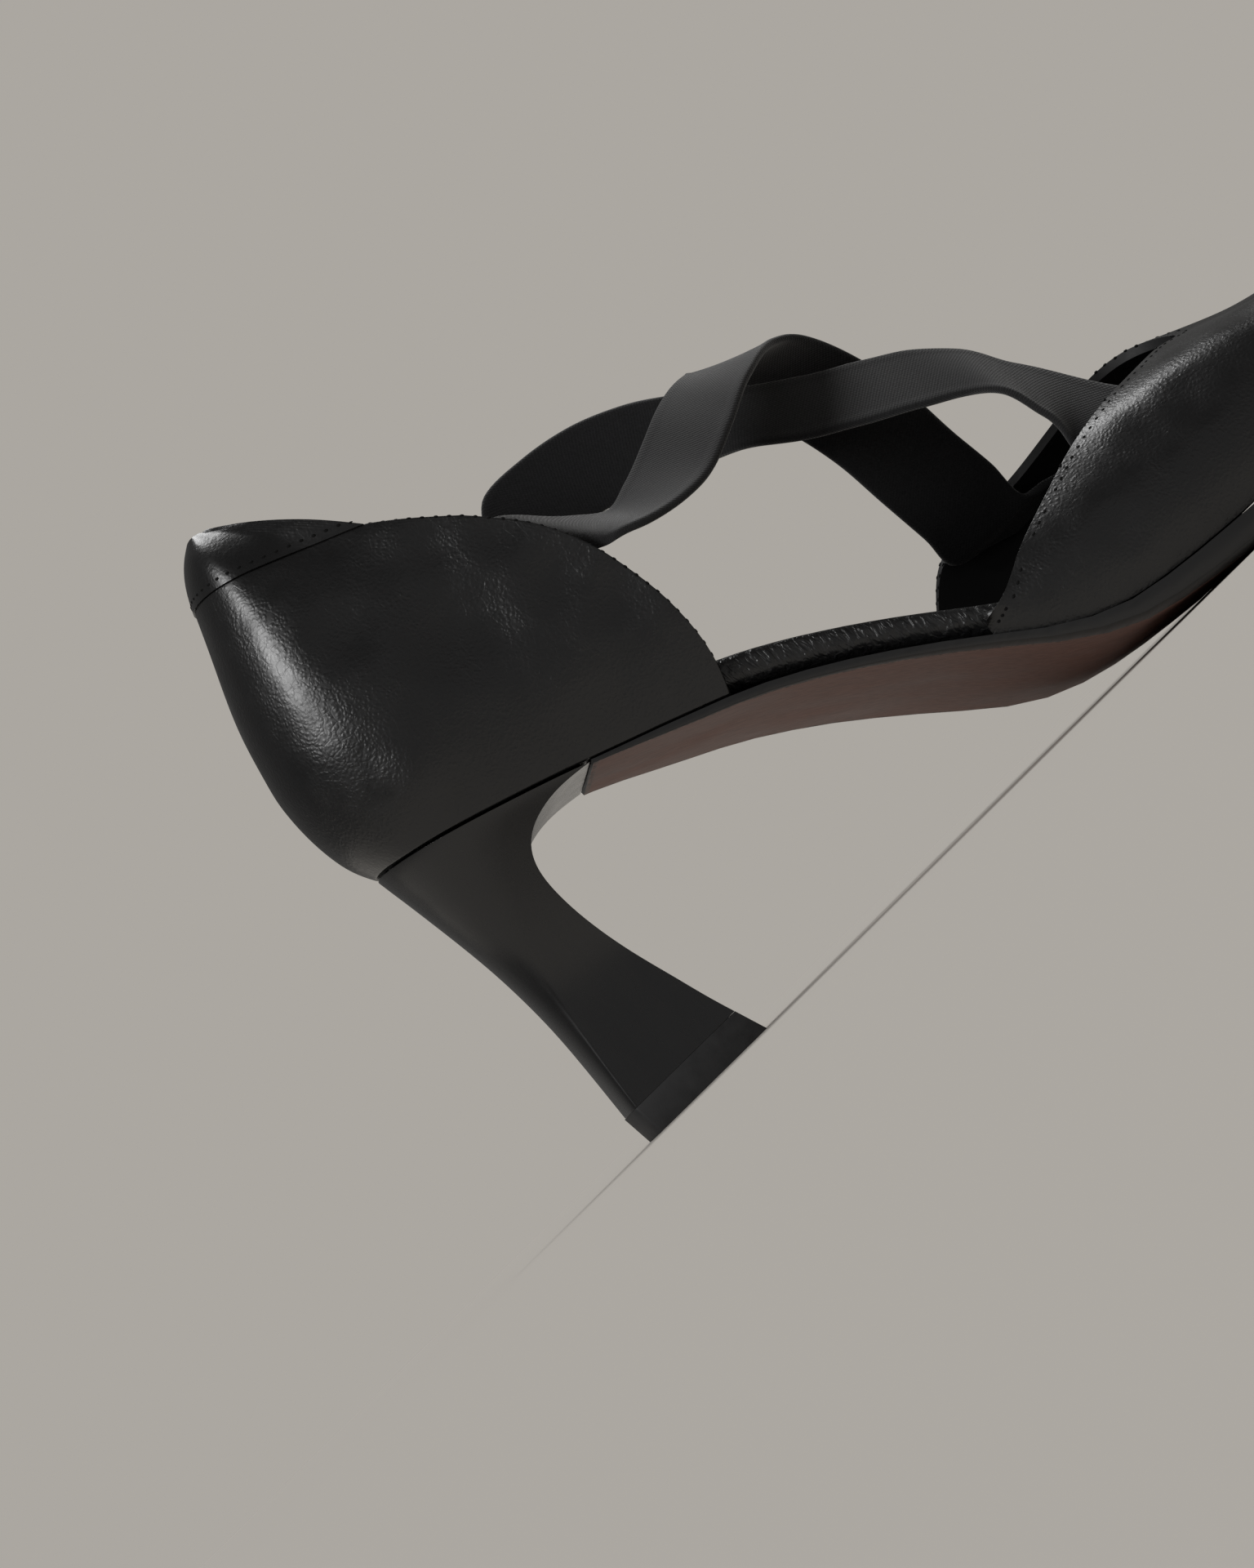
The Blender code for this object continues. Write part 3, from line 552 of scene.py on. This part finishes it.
VAMP_DENTS = (
    (((128, -34, 28), (138, -33, 27)), (0.0, 0.7, 0.0), 8),
    (((112, -35, 18),), (0.0, 0.5, 0.0), 7),
    (((158, -24, 30),), (0.0, 0.3, -0.6), 9),
    (((172, -14, 30), (172, -4, 31)), (0.0, 0.0, -0.5), 7),
    (((186, 6, 28), (184, -8, 28)), (0.0, 0.0, -0.5), 7),
    (((150, 30, 32),), (0.0, -0.5, -0.3), 9),
    (((128, 36, 26),), (0.0, -0.6, 0.0), 8),
)


def make_wall(node, name, dents, material, fold=EDGE_FOLD):
    """One wall of the upper: folded edges, soft dents, and the lining on the foot's side."""
    piece = copied_node(node, name)
    line = sharp_loops(piece)[0]
    if node == "heel_tab":
        nudge(piece, on_seam, (0, 0, -2.0 * SEAM_CLOSE))
    round_edges(piece, fold)
    subdivide(piece, 2)
    for points, push, reach in dents:
        press(piece, points, push, reach)
    piece.data.materials.append(material)
    assign_faces(piece, LINING, foot_side)
    smooth(piece)
    settle(piece, (node,))
    return piece, line


def part_of(line, keep):
    """The longest unbroken stretch of a closed line whose points pass keep."""
    if keep(line[0]):
        start = next((k for k, point in enumerate(line) if not keep(point)), 0)
        line = line[start:-1] + line[:start + 1]
    best = []
    current = []
    for point in line:
        if keep(point):
            current.append(point)
        else:
            if len(current) > len(best):
                best = current
            current = []
    return current if len(current) > len(best) else best


quarter, quarter_line = make_wall("quarter", "heel_cup", CUP_DENTS, LEATHER)
tab, tab_line = make_wall("heel_tab", "collar_tab", (), TAB_LEATHER, TAB_FOLD)
vamp, vamp_line = make_wall("vamp", "vamp_wall", VAMP_DENTS, LEATHER)


# Sole, footbed and heel

def make_sole():
    piece = copied_node("outsole", "leather_sole")
    piece.data.materials.append(INK)
    activate(piece)
    bpy.ops.object.mode_set(mode="EDIT")
    bpy.ops.mesh.select_mode(type="FACE")
    bpy.ops.object.mode_set(mode="OBJECT")
    for face in piece.data.polygons:
        face.select = face.normal.z < -0.6 and abs(face.normal.y) < 0.25
    bpy.ops.object.mode_set(mode="EDIT")
    piece.data.materials.append(BORDER)
    piece.active_material_index = 1
    bpy.ops.object.material_slot_assign()
    bpy.ops.mesh.inset(thickness=BORDER_WIDTH, use_even_offset=True)
    piece.data.materials.append(SOLE)
    piece.active_material_index = 2
    bpy.ops.object.material_slot_assign()
    bpy.ops.object.mode_set(mode="OBJECT")
    round_edges(piece, SOLE_ROUND, 40.0, 2)
    smooth(piece, 35)
    settle(piece, ("outsole",))


def make_footbed():
    piece = copied_node("insole", "footbed")
    subdivide(piece, 1)
    piece.data.materials.append(FOOTBED)
    smooth(piece)
    settle(piece, ("insole",))


def make_heel():
    piece = copied_node("heel", "flared_heel")
    round_edges(piece, HEEL_ROUND, 35.0, 2)
    subdivide(piece, 2)
    piece.data.materials.append(LACQUER)
    smooth(piece)
    settle(piece, ("heel",))


def make_top_piece():
    piece = copied_node("heel_top_piece", "top_piece")
    top = max(v.co.z for v in piece.data.vertices)
    nudge(piece, lambda co: co.z > top - 0.5 * MM, (0, 0, SEAM_CLOSE))
    round_edges(piece, LIFT_ROUND, 35.0, 2)
    piece.data.materials.append(RUBBER)
    smooth(piece, 35)
    settle(piece, ("heel_top_piece",))


make_sole()
make_footbed()
make_heel()
make_top_piece()


# Elastic bands: the two edges of each at places chosen along it, back edge and front edge, in millimetres
UPPER_BAND = (
    ((27.8, -18.3, 99.0), (34.8, -21.5, 82.0)),
    ((33.7, -19.1, 96.7), (41.6, -22.1, 80.2)),
    ((39.0, -19.4, 94.8), (47.3, -22.4, 78.8)),
    ((50.0, -11.2, 86.6), (53.5, -26.1, 76.5)),
    ((55.7, -9.7, 82.6), (58.0, -26.3, 75.0)),
    ((62.0, -9.0, 83.8), (66.0, -24.0, 73.7)),
    ((70.3, -7.0, 87.4), (74.0, -20.0, 74.7)),
    ((77.5, -3.0, 90.4), (82.6, -16.0, 78.6)),
    ((85.4, 5.0, 91.8), (91.8, -9.6, 83.0)),
    ((87.0, 13.3, 90.4), (101.6, 3.2, 85.3)),
    ((91.0, 17.6, 81.7), (107.0, 9.0, 83.0)),
    ((95.0, 20.6, 73.8), (112.6, 16.0, 74.5)),
    ((98.0, 23.5, 64.0), (116.0, 21.0, 64.0)),
    ((99.5, 26.5, 52.4), (117.8, 25.0, 52.4)),
    ((100.7, 28.4, 42.7), (118.8, 25.7, 44.2)),
    ((102.2, 31.5, 36.1), (119.0, 27.5, 36.1)),
    ((108.2, 32.5, 34.7), (125.5, 28.5, 34.7)),
    ((114.6, 33.4, 32.7), (132.2, 29.5, 32.8)),
)
LOWER_BAND = (
    ((28.2, 18.8, 99.1), (35.1, 22.0, 81.8)),
    ((34.1, 19.9, 96.8), (41.9, 23.0, 80.2)),
    ((39.3, 20.7, 95.1), (47.6, 23.8, 78.8)),
    ((47.7, 22.0, 103.3), (56.1, 23.5, 87.1)),
    ((57.3, 21.5, 103.5), (63.2, 22.5, 86.1)),
    ((66.5, 19.5, 101.7), (70.2, 19.5, 83.7)),
    ((75.4, 16.5, 97.8), (77.7, 14.0, 79.7)),
    ((84.0, 12.5, 91.5), (85.4, 5.0, 74.7)),
    ((92.7, 11.1, 84.4), (92.2, 0.9, 69.0)),
    ((101.2, 8.6, 78.0), (100.0, -3.1, 63.8)),
    ((109.4, 4.8, 72.6), (108.2, -7.3, 58.7)),
    ((116.4, 1.0, 67.5), (115.2, -11.5, 54.1)),
    ((121.6, -3.6, 61.3), (119.0, -17.5, 49.5)),
    ((125.9, -8.7, 52.1), (120.3, -22.3, 41.1)),
    ((137.8, -17.3, 32.2), (122.0, -24.3, 31.1)),
    ((145.3, -20.5, 30.4), (128.8, -26.3, 30.0)),
    ((153.5, -23.8, 28.4), (136.2, -28.3, 28.5)),
)


def smooth_line(points, knots, count):
    """Values on a smooth curve through points that lie at knots, at even places from first to last."""
    tangent = np.gradient(points, knots, axis=0)
    at = np.linspace(0, knots[-1], count)
    i = np.clip(np.searchsorted(knots, at, side="right") - 1, 0, len(knots) - 2)
    step = (knots[i + 1] - knots[i])[:, None]
    t = (at - knots[i])[:, None] / step
    rise = 3 * t**2 - 2 * t**3
    return (
        points[i] * (1 - rise) + points[i + 1] * rise
        + step * tangent[i] * (t**3 - 2 * t**2 + t) + step * tangent[i + 1] * (t**3 - t**2)
    )


def band_profile():
    """Outline of the woven band's section: a flat middle and a thicker rolled selvedge, across and up."""
    half = BAND_WIDTH / 2
    flat = BAND_THICKNESS / 2
    bead = flat * 1.22
    centre = half - bead
    over = [(-centre + (2 * centre) * k / 14, flat) for k in range(15)]
    over[0] = (-centre, bead)
    over[-1] = (centre, bead)
    right = [(centre + bead * math.sin(a), bead * math.cos(a)) for a in (0.6, 1.1, 1.57, 2.04, 2.54)]
    under = [(x, -z) for x, z in reversed(over)]
    left = [(-x, -z) for x, z in right]
    return over + right + under + left


def make_band(name, rows, count=150):
    """A woven band through its rows, with its own UV map in millimetres along and across it."""
    rows = np.array(rows) * MM
    centres = rows.mean(axis=1)
    knots = np.concatenate([[0.0], np.cumsum(np.linalg.norm(np.diff(centres, axis=0), axis=1))])
    middle = smooth_line(centres, knots, count)
    edge = smooth_line(rows[:, 1] - rows[:, 0], knots, count)
    edge /= np.linalg.norm(edge, axis=1)[:, None]
    forward = np.gradient(middle, axis=0)
    face = np.cross(edge, forward)
    face /= np.linalg.norm(face, axis=1)[:, None]
    profile = band_profile()
    travelled = np.concatenate([[0.0], np.cumsum(np.linalg.norm(np.diff(middle, axis=0), axis=1))])
    mesh = bmesh.new()
    uv = mesh.loops.layers.uv.new("weave")
    rings = []
    for k in range(count):
        wave = 0.05 * MM * math.sin(travelled[k] / MM * 0.55)
        rings.append([
            mesh.verts.new(middle[k] + edge[k] * across + face[k] * (lift + wave)) for across, lift in profile
        ])
    around = [0.0]
    for a, b in zip(profile, profile[1:] + profile[:1]):
        around.append(around[-1] + math.dist(a, b))
    size = len(profile)
    for k in range(count - 1):
        for n in range(size):
            after = (n + 1) % size
            built = mesh.faces.new((rings[k][n], rings[k][after], rings[k + 1][after], rings[k + 1][n]))
            places = ((k, n), (k, n + 1), (k + 1, n + 1), (k + 1, n))
            for loop, (row, column) in zip(built.loops, places):
                loop[uv].uv = (travelled[row] / MM, around[column] / MM)
    mesh.faces.new(rings[0])
    mesh.faces.new(rings[-1])
    bmesh.ops.recalc_face_normals(mesh, faces=mesh.faces)
    data = bpy.data.meshes.new(name)
    mesh.to_mesh(data)
    mesh.free()
    piece = bpy.data.objects.new(name, data)
    bpy.context.scene.collection.objects.link(piece)
    data.materials.append(ELASTIC)
    smooth(piece, 60)
    return piece


upper_band = make_band("upper_band", UPPER_BAND)
lower_band = make_band("lower_band", LOWER_BAND)
settle(upper_band, ("crossed_straps",))
settle(lower_band, ())


# Stitching: a row beside each folded edge of the upper
CUP_SIDES = (("cup_inner_stitches", -1), ("cup_outer_stitches", 1))
for row_name, side in CUP_SIDES:
    rim = part_of(quarter_line, lambda p: p.x > CUP_RIM_BACK and p.y * side > 0 and p.z < CUP_RIM_TOP)
    stitch_row(row_name, quarter, rim, STITCH_INSET)
stitch_row("tab_seam_stitches", tab, part_of(tab_line, on_seam), TAB_STITCH_INSET)
throat = part_of(vamp_line, lambda p: p.z > THROAT_FOOT)
stitch_row("throat_stitches", vamp, throat, STITCH_INSET)


# Camera, floor and light

def make_camera():
    look = (AIM - EYE).normalized()
    length = Vector((1, 0, 0))
    along = (length - look * length.dot(look)).normalized()
    upright = along.cross(look)
    right = along * math.cos(ROLL) - upright * math.sin(ROLL)
    up = along * math.sin(ROLL) + upright * math.cos(ROLL)
    bpy.ops.object.camera_add(location=EYE)
    camera = bpy.context.object
    camera.rotation_mode = "QUATERNION"
    camera.rotation_quaternion = Matrix((right, up, -look)).transposed().to_quaternion()
    camera.data.lens = LENS
    camera.data.sensor_width = 36.0
    camera.data.clip_start = 0.01
    camera.data.clip_end = 100.0
    bpy.context.scene.camera = camera
    return right, up, -look


def make_floor(daylight):
    """A pale floor whose lit colour is the backdrop's, so that no horizon shows."""
    bpy.ops.mesh.primitive_circle_add(
        vertices=96, radius=FLOOR_RADIUS, fill_type="NGON", location=FLOOR_MIDDLE,
    )
    floor = bpy.context.object
    floor.name = "floor"
    tint = [seen * math.pi / (daylight + fill * math.pi) for seen, fill in zip(BACKDROP, ROOM_FILL)]
    paint = Paint("pale_floor", tint, 1.0, specular=0.0)
    floor.data.materials.append(paint.material)


def make_light(name, direction, strength, angle):
    bpy.ops.object.light_add(type="SUN")
    light = bpy.context.object
    light.name = name
    light.data.energy = strength
    light.data.angle = math.radians(angle)
    light.rotation_mode = "QUATERNION"
    light.rotation_quaternion = (-direction).to_track_quat("-Z", "Y")


def make_world():
    world = bpy.data.worlds.new("studio")
    bpy.context.scene.world = world
    world.use_nodes = True
    nodes = world.node_tree.nodes
    links = world.node_tree.links
    nodes.clear()
    seen = nodes.new("ShaderNodeBackground")
    seen.inputs["Color"].default_value = (*BACKDROP, 1.0)
    fill = nodes.new("ShaderNodeBackground")
    fill.inputs["Color"].default_value = (*ROOM_FILL, 1.0)
    path = nodes.new("ShaderNodeLightPath")
    mix = nodes.new("ShaderNodeMixShader")
    output = nodes.new("ShaderNodeOutputWorld")
    links.new(path.outputs["Is Camera Ray"], mix.inputs[0])
    links.new(fill.outputs[0], mix.inputs[1])
    links.new(seen.outputs[0], mix.inputs[2])
    links.new(mix.outputs[0], output.inputs["Surface"])


right, up, back = make_camera()
make_world()
LIGHTS = (
    ("window", -right * 0.80 + up * 0.02 + back * 0.55, 1.25, 20),
    ("high_window", -right * 0.50 + up * 0.62 - back * 0.40, 1.10, 26),
    ("room", up * 0.35 + back * 0.90 + right * 0.10, 0.10, 60),
)
for light in LIGHTS:
    make_light(*light)
make_floor(sum(strength * max(direction.normalized().z, 0) for _, direction, strength, _ in LIGHTS))
bpy.context.scene.view_settings.view_transform = "Standard"
